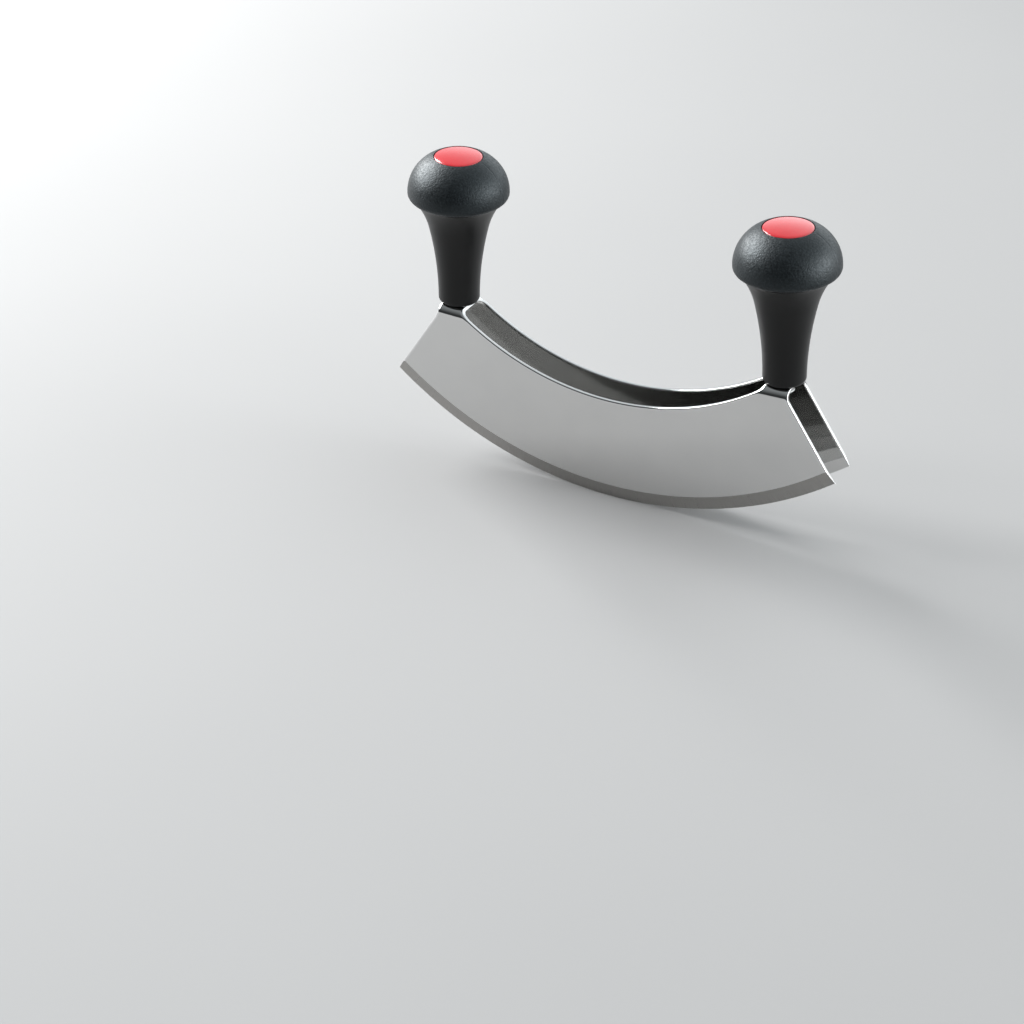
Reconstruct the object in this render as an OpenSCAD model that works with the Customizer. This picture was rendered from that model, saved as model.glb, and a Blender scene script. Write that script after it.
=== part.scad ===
// Mezzaluna: a rocking knife with two blades folded from one sheet, and two knob handles.
// X runs along the blades, Y from the front blade to the back one, and Z is up.
// The lowest points of the two cutting edges lie on Z = 0, with the origin midway between them.

/* [Blades] */
// Length of each blade, from tip to tip
blade_l = 226; // [200:1:270]
// Radius of the curved cutting edge
edge_r = 182.5; // [165:0.5:230]
// Width over both blades
body_w = 20.6; // [18:0.1:30]
// Thickness of the steel sheet
sheet_t = 2; // [1:0.1:2.4]
// Height of the sheet at the middle, where the hollow is lowest
waist_h = 52; // [40:0.5:60]
// Radius of the hollow between the handles
hollow_r = 127.5; // [110:0.5:160]
// Width of the ground bevel, measured along the blade
bevel_w = 7; // [4:0.1:10]
// Thickness left at the cutting edge
edge_t = 0.15; // [0.1:0.05:0.4]

/* [Bridges] */
// Height of the bridges, which the handles stand on
bridge_h = 79.3; // [76:0.1:98]
// Width of a bridge at its neck
neck_w = 11.6; // [9.5:0.1:16]
// Height at which the slanting end of a blade meets the side of the neck
shoulder_h = 75.2; // [70:0.1:80]
// Radius of the corner between hollow and neck
inner_corner_r = 6; // [3:0.5:10]
// Radius of the corner between blade end and neck
outer_corner_r = 8; // [3:0.5:12]

/* [Handles] */
// Distance between the two handles' axes at the bridges
handle_gap = 166; // [150:0.5:190]
// Inward lean of each handle, in degrees
lean = 1.7; // [0:0.1:4]
// Radius of the stem at its foot
foot_r = 9.7; // [8:0.1:12]
// Radius of the rounded edge at the foot
foot_edge_r = 2; // [0.5:0.1:3]
// Height of the stem, up to its crease with the knob
stem_h = 51.7; // [41:0.1:56]
// Length of the strong flare under the knob, above the gentle one
flare_l = 13.6; // [11:0.1:18]
// Radius of the gentle flare
lower_flare_r = 158; // [100:1:200]
// Radius of the strong flare under the knob
upper_flare_r = 37; // [31:1:80]
// Widest radius of the knob
knob_r = 23.4; // [20:0.1:28]
// Radius of the knob's roll, below the widest ring
roll_r = 3.2; // [2:0.1:6]
// Radius of the knob's crown, above the widest ring
crown_r = 18.3; // [14:0.1:20]
// Depth of the crease between stem and knob
crease_d = 0.5; // [0.2:0.1:2]
// Height of the crease
crease_w = 0.4; // [0.2:0.1:1.2]

/* [Caps] */
// Radius of the red cap
cap_r = 11; // [8:0.1:13.2]
// Gap around the cap, in the knob
cap_gap = 0.3; // [0.1:0.05:0.6]
// Rise of the cap's dome over its rim
cap_rise = 1.2; // [0.4:0.1:2.5]
// Thickness of the cap at its rim
cap_t = 2.4; // [1.6:0.1:4]
// Radius of the cap's hollow plug
plug_r = 4.9; // [4:0.1:6]
// Wall of the plug
plug_wall = 1.3; // [0.8:0.1:2]
// Length of the plug below the cap
plug_l = 11; // [8:0.5:16]

/* [Inside the handles] */
// Radius of the core that the knob is moulded over
core_r = 15; // [12:0.1:16]
// Thickness of the knob's roof between the core and the cap
roof_t = 4; // [2:0.5:6]
// Radius of the threaded insert
insert_r = 3.5; // [3.2:0.1:5]
// Length of the threaded insert
insert_l = 12; // [8:0.5:16]
// Depth of the insert's end below the foot's face
insert_inset = 0.5; // [0.2:0.1:2]
// Depth of the ring groove around the insert
insert_groove = 0.4; // [0.2:0.1:0.8]
// Solid floor between the screw's end and the hollow above
stem_floor = 3; // [2:0.5:6]

/* [Fasteners] */
// Radius of the screw's thread
screw_r = 2.5; // [2:0.1:3]
// Length of the screw under its head
screw_l = 16; // [12:0.5:20]
// Radius of the screw's head
head_r = 4.7; // [4:0.1:5.5]
// Height of the screw's head
head_h = 2.75; // [2:0.05:4]
// Width of the hexagon socket across its flats
socket_w = 3; // [2:0.1:4]
// Depth of the hexagon socket
socket_d = 1.8; // [1:0.1:2.4]
// Radius of the flat washer
washer_r = 4.5; // [4:0.1:5.4]
// Flat of the bridge left free around the flat washer
washer_seat = 0.8; // [0:0.1:1]
// Thickness of the flat washer
washer_t = 1; // [0.5:0.1:1.6]
// Radius of the split lock washer
lock_r = 4.4; // [3.8:0.1:5]
// Thickness of the lock washer
lock_t = 1.2; // [0.8:0.1:1.6]
// Width of the lock washer's slanting split
split_w = 0.7; // [0.3:0.1:1.2]

/* [Fits] */
// Radial gap of the screw in the bridge
bridge_gap = 0.25; // [0.1:0.05:0.5]
// Radial gap of the washers around the screw
washer_gap = 0.15; // [0.05:0.05:0.3]
// Radial gap of the screw in the insert, and of pressed and moulded pieces in their seats
fit_gap = 0.05; // [0.02:0.01:0.1]

/* [Hidden] */

$fn = 96;
left = -1;
right = 1;
over = 1;                              // how far a cutter reaches past what it cuts
big = 2 * edge_r;                      // longer than any piece

// Blades
half_w = body_w / 2;
tip_x = blade_l / 2;
tip_z = edge_r - sqrt(edge_r * edge_r - tip_x * tip_x);
hollow_z = waist_h + hollow_r;         // centre of the hollow's circle

// Bridges
handle_x = handle_gap / 2;
bend_r = half_w - sheet_t - washer_r - washer_seat;   // the washer lies on the flat between the bends
outer_bend_r = bend_r + sheet_t;
neck_in = handle_x - neck_w / 2;
neck_out = handle_x + neck_w / 2;
// Centre of the rounded corner between the hollow and the neck
in_x = neck_in - inner_corner_r;
in_z = hollow_z - sqrt(pow(hollow_r - inner_corner_r, 2) - in_x * in_x);
in_angle = asin(in_x / (hollow_r - inner_corner_r));
// The rounded corner between the blade's end and the neck
slant = atan2(tip_x - neck_out, shoulder_h - tip_z);
corner_run = outer_corner_r * tan(slant / 2);

// Stem: the two flares meet at one slope
flare_z = stem_h - flare_l;
flare_angle = asin((flare_z - foot_edge_r) / lower_flare_r);
flare_x = foot_r + lower_flare_r * (1 - cos(flare_angle));
upper_x = flare_x + upper_flare_r * cos(flare_angle);
upper_z = flare_z - upper_flare_r * sin(flare_angle);
stem_top_r = upper_x - sqrt(upper_flare_r * upper_flare_r - pow(stem_h - upper_z, 2));

// Knob and cap
roll_x = knob_r - roll_r;
crown_x = knob_r - crown_r;
seat_z = stem_h + crease_w;            // the knob sits on the stem here
knob_h = seat_z + roll_r;              // height of the knob's widest ring
crease_r = stem_top_r - crease_d;
pocket_r = cap_r + cap_gap;
rim_z = knob_h + sqrt(crown_r * crown_r - pow(pocket_r - crown_x, 2));
pocket_z = rim_z - cap_t;
core_h = pocket_z - roof_t;
dome_r = (cap_r * cap_r + cap_rise * cap_rise) / (2 * cap_rise);
cap_edge_r = 0.4;                      // rounding of the cap's rim
lead_in = 0.6;                         // chamfer on the plug and the screw

// Screw stack under the bridge, in the handle's own frame
washer_z = -sheet_t - washer_t;
lock_z = washer_z - lock_t;
screw_end = lock_z + screw_l;
hollow_floor = max(insert_inset + insert_l, screw_end) + stem_floor;

// The handle's own frame: Z along its axis, with the bridge's top face at 0
module at_handle(side) {
    translate([side * handle_x, 0, bridge_h]) rotate([0, -side * lean, 0]) children();
}

// A ring or disc between two heights
module ring(r_out, r_in, z0, z1) {
    difference() {
        translate([0, 0, z0]) cylinder(r = r_out, h = z1 - z0);
        translate([0, 0, z0 - over]) cylinder(r = r_in, h = z1 - z0 + 2 * over);
    }
}

// What is left free between the handles, above the hollow
module hollow_outline() {
    wedge = hollow_r / cos(in_angle) + over;
    intersection() {
        translate([0, hollow_z]) circle(r = hollow_r);
        polygon([
            [0, hollow_z],
            [-wedge * sin(in_angle), hollow_z - wedge * cos(in_angle)],
            [wedge * sin(in_angle), hollow_z - wedge * cos(in_angle)]
        ]);
    }
    for (s = [left, right]) translate([s * in_x, in_z]) circle(r = inner_corner_r);
    translate([-neck_in, in_z]) square([2 * neck_in, big]);
}

// The sheet's outline seen from the front: crescent, slanting ends and two necks
module sheet_outline() {
    top = bridge_h + 2 * over;
    difference() {
        intersection() {
            translate([0, edge_r]) circle(r = edge_r);
            union() for (s = [left, right]) polygon([
                [0, -over],
                [0, top],
                [s * neck_out, top],
                [s * neck_out, shoulder_h + corner_run],
                [s * (neck_out + outer_corner_r), shoulder_h + corner_run],
                [s * (neck_out + corner_run * sin(slant)), shoulder_h - corner_run * cos(slant)],
                [s * (tip_x + (tip_z + over) * tan(slant)), -over]
            ]);
        }
        for (s = [left, right])
            translate([s * (neck_out + outer_corner_r), shoulder_h + corner_run])
                circle(r = outer_corner_r);
        hollow_outline();
    }
}

// Cross-section in Y and Z, with both upper corners rounded by the bends
module fold_outline(w, r, z) {
    depth = 1.5 * bridge_h;
    translate([-w / 2, z - depth]) square([w, depth - r]);
    translate([-w / 2 + r, z - r - over]) square([w - 2 * r, r + over]);
    for (s = [left, right]) translate([s * (w / 2 - r), z - r]) circle(r = r);
}

// A lump as wide as given, from one end of the tool past its middle, leaning with its handle
module folded_lump(side, w, r, z) {
    at_handle(side)
        rotate([90, 0, 90])
            linear_extrude(2 * (handle_x + over), center = true) fold_outline(w, r, z);
}

// What grinding takes off one blade's outer face
module bevel_cut() {
    slope = (sheet_t - edge_t) / bevel_w;
    translate([0, -half_w, edge_r])
        rotate([-90, 0, 0])
            rotate_extrude()
                polygon([
                    [edge_r - bevel_w - over / slope, -over],
                    [edge_r + over, -over],
                    [edge_r + over, slope * (bevel_w + over)]
                ]);
}

// Both blades and both bridges, folded from one sheet of mirror-polished steel
module blade_body() {
    color([0.78, 0.78, 0.77])
    difference() {
        intersection() {
            rotate([90, 0, 0]) linear_extrude(body_w + 2 * over, center = true) sheet_outline();
            union() for (s = [left, right]) folded_lump(s, body_w, outer_bend_r, 0);
        }
        for (s = [left, right]) folded_lump(s, body_w - 2 * sheet_t, bend_r, -sheet_t);
        bevel_cut();
        mirror([0, 1, 0]) bevel_cut();
        for (s = [left, right])
            at_handle(s)
                translate([0, 0, -outer_bend_r])
                    cylinder(r = screw_r + bridge_gap, h = outer_bend_r + over);
    }
}

// Half outline of the stem's outside: rounded foot, then two flares
module stem_outline() {
    difference() {
        union() {
            translate([0, foot_edge_r]) square([stem_top_r, stem_h - foot_edge_r]);
            square([foot_r - foot_edge_r, foot_edge_r + over]);
            translate([foot_r - foot_edge_r, foot_edge_r]) circle(r = foot_edge_r);
        }
        intersection() {
            translate([foot_r + lower_flare_r, foot_edge_r]) circle(r = lower_flare_r);
            translate([foot_r, foot_edge_r]) square([big, flare_z - foot_edge_r]);
        }
        intersection() {
            translate([upper_x, upper_z]) circle(r = upper_flare_r);
            translate([flare_x, flare_z]) square([big, flare_l + over]);
        }
    }
}

// Hard core of a handle: the visible stem and the post inside the knob
module handle_stem(side) {
    color([0.09, 0.1, 0.11])
    at_handle(side)
    difference() {
        union() {
            rotate_extrude() stem_outline();
            translate([0, 0, stem_h - over]) cylinder(r = crease_r, h = seat_z - stem_h + over);
            translate([0, 0, stem_h]) cylinder(r = core_r, h = core_h - stem_h);
        }
        translate([0, 0, -over])
            cylinder(r = insert_r + fit_gap, h = insert_inset + insert_l + over);
        translate([0, 0, -over])
            cylinder(r = screw_r + bridge_gap, h = hollow_floor - stem_floor + 2 * over);
        translate([0, 0, hollow_floor]) cylinder(r = plug_r + fit_gap, h = core_h);
    }
}

// Half outline of the knob's outside: roll below the widest ring, crown above it
module knob_outline() {
    translate([0, seat_z]) square([roll_x, roll_r]);
    intersection() {
        translate([roll_x, knob_h]) circle(r = roll_r);
        translate([roll_x, seat_z]) square([roll_r, roll_r]);
    }
    intersection() {
        translate([crown_x, knob_h]) circle(r = crown_r);
        translate([0, knob_h]) square([knob_r, crown_r]);
    }
}

// Soft knob moulded over the post, with a pocket for the cap
module knob_shell(side) {
    color([0.16, 0.18, 0.2])
    at_handle(side)
    difference() {
        rotate_extrude() knob_outline();
        translate([0, 0, seat_z - over])
            cylinder(r = core_r + fit_gap, h = core_h + fit_gap - seat_z + over);
        translate([0, 0, core_h]) cylinder(r = plug_r + 2 * fit_gap, h = crown_r);
        translate([0, 0, pocket_z]) cylinder(r = pocket_r, h = crown_r);
    }
}

// Half outline of the cap: flat underside, rounded rim and shallow dome
module cap_outline() {
    intersection() {
        translate([0, rim_z + cap_rise - dome_r]) circle(r = dome_r);
        union() {
            translate([0, pocket_z]) square([cap_r, cap_t - cap_edge_r]);
            translate([0, rim_z - cap_edge_r]) square([cap_r - cap_edge_r, cap_rise + cap_edge_r]);
            translate([cap_r - cap_edge_r, rim_z - cap_edge_r]) circle(r = cap_edge_r);
        }
        translate([0, pocket_z]) square([cap_r, cap_t + cap_rise]);
    }
}

// Red cap that closes the knob, with a hollow plug pressed into the post
module red_cap(side) {
    color([0.86, 0.2, 0.23])
    at_handle(side)
    difference() {
        union() {
            rotate_extrude() cap_outline();
            translate([0, 0, pocket_z - plug_l + lead_in]) cylinder(r = plug_r, h = plug_l);
            translate([0, 0, pocket_z - plug_l])
                cylinder(r1 = plug_r - lead_in, r2 = plug_r, h = lead_in);
        }
        translate([0, 0, pocket_z - plug_l - over])
            cylinder(r = plug_r - plug_wall, h = plug_l + over);
    }
}

// Threaded brass insert in the foot of the stem
module threaded_insert(side) {
    mid = insert_inset + insert_l / 2;
    groove_l = insert_l / 5;
    color([0.75, 0.58, 0.25])
    at_handle(side)
    difference() {
        ring(insert_r, screw_r + fit_gap, insert_inset, insert_inset + insert_l);
        ring(insert_r + over, insert_r - insert_groove, mid - groove_l / 2, mid + groove_l / 2);
    }
}

// Button-head screw that pulls the handle down on its bridge
module handle_screw(side) {
    ball_r = (head_r * head_r + head_h * head_h) / (2 * head_h);
    color([0.6, 0.6, 0.6])
    at_handle(side)
    difference() {
        union() {
            translate([0, 0, lock_z]) cylinder(r = screw_r, h = screw_l - lead_in);
            translate([0, 0, screw_end - lead_in])
                cylinder(r1 = screw_r, r2 = screw_r - lead_in, h = lead_in);
            intersection() {
                translate([0, 0, lock_z - head_h + ball_r]) sphere(r = ball_r);
                translate([0, 0, lock_z - head_h]) cylinder(r = head_r, h = head_h);
            }
        }
        translate([0, 0, lock_z - head_h - over])
            cylinder(r = socket_w / 2 / cos(30), h = socket_d + over, $fn = 6);
    }
}

// Split lock washer over the screw's head
module lock_washer(side) {
    color([0.55, 0.55, 0.56])
    at_handle(side)
    difference() {
        ring(lock_r, screw_r + washer_gap, lock_z, washer_z);
        translate([lock_r / 2, 0, lock_z + lock_t / 2])
            rotate([30, 0, 0])
                cube([lock_r + over, split_w, 3 * lock_t], center = true);
    }
}

// Flat washer against the underside of the bridge
module flat_washer(side) {
    color([0.65, 0.65, 0.66])
    at_handle(side) ring(washer_r, screw_r + washer_gap, washer_z, -sheet_t);
}

blade_body();
handle_stem(left);  // left_handle_stem
knob_shell(left);  // left_knob_shell
red_cap(left);  // left_red_cap
threaded_insert(left);  // left_threaded_insert
handle_screw(left);  // left_handle_screw
lock_washer(left);  // left_lock_washer
flat_washer(left);  // left_flat_washer
handle_stem(right);  // right_handle_stem
knob_shell(right);  // right_knob_shell
red_cap(right);  // right_red_cap
threaded_insert(right);  // right_threaded_insert
handle_screw(right);  // right_handle_screw
lock_washer(right);  // right_lock_washer
flat_washer(right);  // right_flat_washer
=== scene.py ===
"""Mezzaluna: two mirror-steel blades folded from one sheet, and two black knob handles.

Metres throughout. X runs along the blades, Y from the front blade to the back one, Z is up.
The CAD frame gives the places; every piece below replaces one of its nodes.
"""

import math

import bmesh
import bpy
from mathutils import Matrix, Vector


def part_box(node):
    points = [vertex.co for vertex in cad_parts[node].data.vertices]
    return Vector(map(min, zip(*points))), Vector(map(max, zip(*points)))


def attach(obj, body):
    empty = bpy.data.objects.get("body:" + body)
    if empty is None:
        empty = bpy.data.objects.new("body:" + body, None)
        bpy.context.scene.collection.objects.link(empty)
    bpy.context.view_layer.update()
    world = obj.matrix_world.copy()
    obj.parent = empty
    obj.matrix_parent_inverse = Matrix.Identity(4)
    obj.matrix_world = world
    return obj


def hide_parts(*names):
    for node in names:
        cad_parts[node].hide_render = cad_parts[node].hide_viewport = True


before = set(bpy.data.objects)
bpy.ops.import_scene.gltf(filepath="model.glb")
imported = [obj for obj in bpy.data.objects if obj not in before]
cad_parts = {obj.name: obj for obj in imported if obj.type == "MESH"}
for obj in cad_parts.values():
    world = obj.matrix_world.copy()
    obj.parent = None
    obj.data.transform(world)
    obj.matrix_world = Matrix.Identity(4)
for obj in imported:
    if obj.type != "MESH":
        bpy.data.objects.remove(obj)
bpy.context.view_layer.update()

MM = 0.001
SIDES = ("left", "right")
HAIR = 0.01 * MM               # smaller than any step in an outline
MERGE_GAP = 1e-7               # points nearer than this are one
SHARP = math.radians(30)       # faces that meet at more than this make a sharp edge


def middle_of(node):
    """Middle of a node's box at rest."""
    low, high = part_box(node)
    return (low + high) / 2


# Blades, from the frame and the sheet's own sizes
BLADE_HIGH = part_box("blade_body")[1]
TIP_X = BLADE_HIGH.x
HALF_W = BLADE_HIGH.y
SHEET_T = 2 * MM               # steel sheet
EDGE_R = 182.5 * MM            # cutting edge
BEVEL_W = 7 * MM               # ground bevel, along the blade
EDGE_T = 0.15 * MM             # sheet left at the cutting edge
WAIST_H = 52 * MM              # lowest point of the hollow
HOLLOW_R = 127.5 * MM
NECK_W = 11.6 * MM
SHOULDER_H = 75.2 * MM         # where the slanting end meets the neck
INNER_CORNER_R = 6 * MM
OUTER_CORNER_R = 8 * MM
BEND_R = 5 * MM                # outside of the bend between blade and bridge
HOLE_R = 2.75 * MM
ROUND_RUN = 1.1 * MM           # rounding of the sheet's cut edges, over its faces
ROUND_RISE = 0.5 * MM          # and into its thickness

# Handles: heights along the handle's axis, from the top of its bridge
INSERT_MID = 6.5 * MM
FOOT_R = 9.7 * MM
FOOT_EDGE_R = 2 * MM
STEM_H = 51.7 * MM
FLARE_L = 13.6 * MM            # the strong flare under the knob
LOWER_FLARE_R = 158 * MM
UPPER_FLARE_R = 37 * MM
CREASE_D = 0.25 * MM
CREASE_W = 0.4 * MM
KNOB_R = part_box("right_knob_shell")[1].y
ROLL_R = 3.2 * MM
CROWN_R = 18.3 * MM
CORE_R = 15 * MM
ROOF_T = 4 * MM
FIT = 0.05 * MM
CAP_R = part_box("right_red_cap")[1].y
CAP_GAP = 0.3 * MM
CAP_RISE = 1.2 * MM
CAP_T = 2.4 * MM
PLUG_R = 4.9 * MM
PLUG_WALL = 1.3 * MM
PLUG_L = 11 * MM
LEAD_IN = 0.6 * MM
HOLE_TOP = 12.5 * MM           # top of the insert's hole
HOLE_END = 13.5 * MM           # top of the screw's hole
HOLLOW_FLOOR = 15.5 * MM
SEAM_D = 0.18 * MM             # mould parting line
SEAM_W = 0.4 * MM

# Fasteners
WASHER_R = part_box("right_flat_washer")[1].y
LOCK_R = 4.4 * MM
WASHER_BORE = 2.65 * MM
WASHER_T = 1 * MM
LOCK_T = 1.2 * MM
SPLIT_W = 0.7 * MM
SPLIT_SLANT = math.radians(30)
SCREW_R = 2.5 * MM
SCREW_L = 16 * MM
HEAD_R = 4.7 * MM
HEAD_H = 2.75 * MM
SOCKET_W = 3 * MM
SOCKET_D = 1.8 * MM
PITCH = 0.8 * MM
THREAD_D = 0.42 * MM
INSERT_R = 3.5 * MM
INSERT_L = 12 * MM
INSERT_BORE = 2.55 * MM
KNURL_RIBS = 40.0
KNURL_D = 0.2 * MM

# Derived heights
STEM_TOP = STEM_H + CREASE_W
KNOB_H = STEM_TOP + ROLL_R
POCKET_R = CAP_R + CAP_GAP
CROWN_X = KNOB_R - CROWN_R
RIM_Z = KNOB_H + math.sqrt(CROWN_R ** 2 - (POCKET_R - CROWN_X) ** 2)
POCKET_Z = RIM_Z - CAP_T
CORE_H = POCKET_Z - ROOF_T
WASHER_Z = -SHEET_T - WASHER_T
LOCK_Z = WASHER_Z - LOCK_T

# Camera: where the photograph was taken from, around a target below the tool's middle
CAMERA_TARGET = Vector((-56.72, 0, -31.85)) * MM
CAMERA_DISTANCE = 1055.72 * MM
CAMERA_AZIMUTH = math.radians(30.518)
CAMERA_ELEVATION = math.radians(32.607)
CAMERA_ROLL = math.radians(-1.226)
CAMERA_LENS = 75.23

# Studio: brightness of the walls around the tool, and the ceiling as a share of the walls
WALL_AZIMUTH = 140             # middle of the bright wall, 0 in front and 90 to the right
BACK_WALL = 2.3
FRONT_WALL = 0.05
WALL_EDGES = (-0.3, 0.8)       # it starts and is full there: cosines of the angle to its middle
CEILING = 0.35
CEILING_EDGES = (0.3, 0.8)     # the same for the ceiling: sines of the angle above the floor
SKY_LIGHT = 0.28               # what the ceiling adds on every side
SKY_COLOUR = (0.91, 0.97, 1.0, 1)
TOOL_MIDDLE = Vector((0, 0, 80 * MM))


def handle_frame(side):
    """Matrix of a handle's own frame: Z along its axis, from the top of its bridge."""
    washer = middle_of(side + "_flat_washer")
    insert = middle_of(side + "_threaded_insert")
    up = (insert - washer).normalized()
    across = Vector((0, 1, 0))
    along = across.cross(up)
    turn = Matrix((along, across, up)).transposed().to_4x4()
    return Matrix.Translation(insert - up * INSERT_MID) @ turn


# Outlines


def arc(x, z, radius, start, end, steps):
    """Points on an arc, angles in degrees from the outward radius."""
    turns = [math.radians(start + (end - start) * i / steps) for i in range(steps + 1)]
    return [(x + radius * math.cos(t), z + radius * math.sin(t)) for t in turns]


def steps_between(a, b, count):
    """Points on a straight line, without its first one."""
    return [tuple(p + (q - p) * i / count for p, q in zip(a, b)) for i in range(1, count + 1)]


def stem_outline():
    """Rounded foot, two flares that meet at one slope, the crease and the post above it."""
    flare_z = STEM_H - FLARE_L
    flare = math.degrees(math.asin((flare_z - FOOT_EDGE_R) / LOWER_FLARE_R))
    flare_x = FOOT_R + LOWER_FLARE_R * (1 - math.cos(math.radians(flare)))
    upper_x = flare_x + UPPER_FLARE_R * math.cos(math.radians(flare))
    upper_z = flare_z - UPPER_FLARE_R * math.sin(math.radians(flare))
    top = math.degrees(math.asin((STEM_H - upper_z) / UPPER_FLARE_R))
    top_r = upper_x - UPPER_FLARE_R * math.cos(math.radians(top))
    lip = 0.12 * MM
    return [
        (0, HOLE_END), (HOLE_R, HOLE_END), (HOLE_R, HOLE_TOP),
        (INSERT_R + FIT, HOLE_TOP), (INSERT_R + FIT, 0),
        *arc(FOOT_R - FOOT_EDGE_R, FOOT_EDGE_R, FOOT_EDGE_R, -90, 0, 10),
        *arc(FOOT_R + LOWER_FLARE_R, FOOT_EDGE_R, LOWER_FLARE_R, 180, 180 - flare, 28)[1:],
        *arc(upper_x, upper_z, UPPER_FLARE_R, 180 - flare, 180 - top, 16)[1:-1],
        (top_r - 0.1 * lip, STEM_H - lip), (top_r - lip, STEM_H),
        (top_r - CREASE_D, STEM_H), (top_r - CREASE_D, STEM_TOP),
        (CORE_R, STEM_TOP), (CORE_R, CORE_H),
        (PLUG_R + FIT, CORE_H), (PLUG_R + FIT, HOLLOW_FLOOR), (0, HOLLOW_FLOOR),
    ]


def knob_outline():
    """Roll, crown and the pocket for the cap, around the post."""
    lip = 0.3 * MM
    crown_end = math.degrees(math.acos((POCKET_R - CROWN_X) / CROWN_R))
    bore = PLUG_R + 2 * FIT
    return [
        (CORE_R + FIT, STEM_TOP),
        *arc(KNOB_R - ROLL_R, KNOB_H, ROLL_R, -90, 0, 20),
        *arc(CROWN_X, KNOB_H, CROWN_R, 0, crown_end - 0.8, 44)[1:],
        (POCKET_R + 0.3 * lip, RIM_Z - 0.1 * lip), (POCKET_R, RIM_Z - lip),
        (POCKET_R, POCKET_Z), (bore, POCKET_Z), (bore, CORE_H + FIT),
        (CORE_R + FIT, CORE_H + FIT), (CORE_R + FIT, STEM_TOP),
    ]


def cap_outline():
    """Shallow dome with a rounded rim, and the hollow plug below it."""
    dome_r = (CAP_R ** 2 + CAP_RISE ** 2) / (2 * CAP_RISE)
    dome_z = RIM_Z + CAP_RISE - dome_r
    edge = 0.4 * MM
    meet = math.degrees(math.acos((CAP_R - edge) / dome_r))
    return [
        *arc(0, dome_z, dome_r, 90, meet + 0.6, 16),
        *arc(CAP_R - edge, RIM_Z - edge, edge, 62, 0, 6),
        (CAP_R, POCKET_Z), (PLUG_R, POCKET_Z), (PLUG_R, POCKET_Z - PLUG_L + LEAD_IN),
        (PLUG_R - LEAD_IN, POCKET_Z - PLUG_L), (PLUG_R - PLUG_WALL, POCKET_Z - PLUG_L),
        (PLUG_R - PLUG_WALL, POCKET_Z), (0, POCKET_Z),
    ]


def insert_outline():
    """Two knurled bands with a ring groove between them."""
    groove = 0.4 * MM
    rim = 0.3 * MM
    low, high = INSERT_MID - INSERT_L / 2, INSERT_MID + INSERT_L / 2
    third = INSERT_L / 10
    return [
        (INSERT_BORE, low), (INSERT_R - rim, low), (INSERT_R, low + rim),
        *steps_between((INSERT_R, low + rim), (INSERT_R, INSERT_MID - third), 4),
        (INSERT_R - groove, INSERT_MID - third), (INSERT_R - groove, INSERT_MID + third),
        (INSERT_R, INSERT_MID + third),
        *steps_between((INSERT_R, INSERT_MID + third), (INSERT_R, high - rim), 4),
        (INSERT_R - rim, high), (INSERT_BORE, high), (INSERT_BORE, low),
    ]


def screw_outline():
    """Button head with its socket, and the thread's rows up to its end."""
    ball_r = (HEAD_R ** 2 + HEAD_H ** 2) / (2 * HEAD_H)
    low = LOCK_Z - HEAD_H
    rim = 0.35 * MM
    end = LOCK_Z + SCREW_L
    dome = math.degrees(math.asin(SOCKET_W * 0.62 / ball_r))
    rim_turn = math.degrees(math.asin((HEAD_R - 0.1 * MM) / ball_r))
    rows_per_turn = 8
    thread_rows = round((SCREW_L - 2 * LEAD_IN) / PITCH * rows_per_turn)
    return [
        (0, low + SOCKET_D), (SOCKET_W / 2, low + SOCKET_D), (SOCKET_W / 2, low + 0.15 * MM),
        *arc(0, low + ball_r, ball_r, -90 + dome, -90 + rim_turn, 12),
        (HEAD_R, LOCK_Z - rim), (HEAD_R, LOCK_Z - 0.4 * rim), (HEAD_R - 0.4 * rim, LOCK_Z),
        (SCREW_R, LOCK_Z), (SCREW_R, LOCK_Z + LEAD_IN),
        *steps_between((SCREW_R, LOCK_Z + LEAD_IN), (SCREW_R, end - LEAD_IN), thread_rows),
        (SCREW_R - LEAD_IN, end), (0, end),
    ]


def washer_outline():
    """Flat ring with broken edges."""
    edge = 0.12 * MM
    low, high = WASHER_Z, -SHEET_T
    return [
        (WASHER_BORE + edge, low), (WASHER_R - edge, low), (WASHER_R, low + edge),
        (WASHER_R, high - edge), (WASHER_R - edge, high), (WASHER_BORE + edge, high),
        (WASHER_BORE, high - edge), (WASHER_BORE, low + edge), (WASHER_BORE + edge, low),
    ]


# Geometry node trees


class Wire:
    """A number in a node tree that ordinary arithmetic can be written with."""

    def __init__(self, tree, socket):
        self.tree = tree
        self.socket = socket

    def math(self, operation, *others):
        node = self.tree.nodes.new("ShaderNodeMath")
        node.operation = operation
        for slot, value in zip(node.inputs, (self, *others)):
            if isinstance(value, Wire):
                self.tree.links.new(value.socket, slot)
            else:
                slot.default_value = value
        return Wire(self.tree, node.outputs[0])

    def __add__(self, other):
        return self.math("ADD", other)

    def __sub__(self, other):
        return self.math("SUBTRACT", other)

    def __mul__(self, other):
        return self.math("MULTIPLY", other)

    def __truediv__(self, other):
        return self.math("DIVIDE", other)

    def sin(self):
        return self.math("SINE")

    def cos(self):
        return self.math("COSINE")

    def whole(self):
        """The whole part."""
        return self.math("FLOOR")

    def rest(self, other):
        """What dividing leaves over."""
        return self.math("FLOORED_MODULO", other)

    def size(self):
        """The value without its sign."""
        return self.math("ABSOLUTE")


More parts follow.
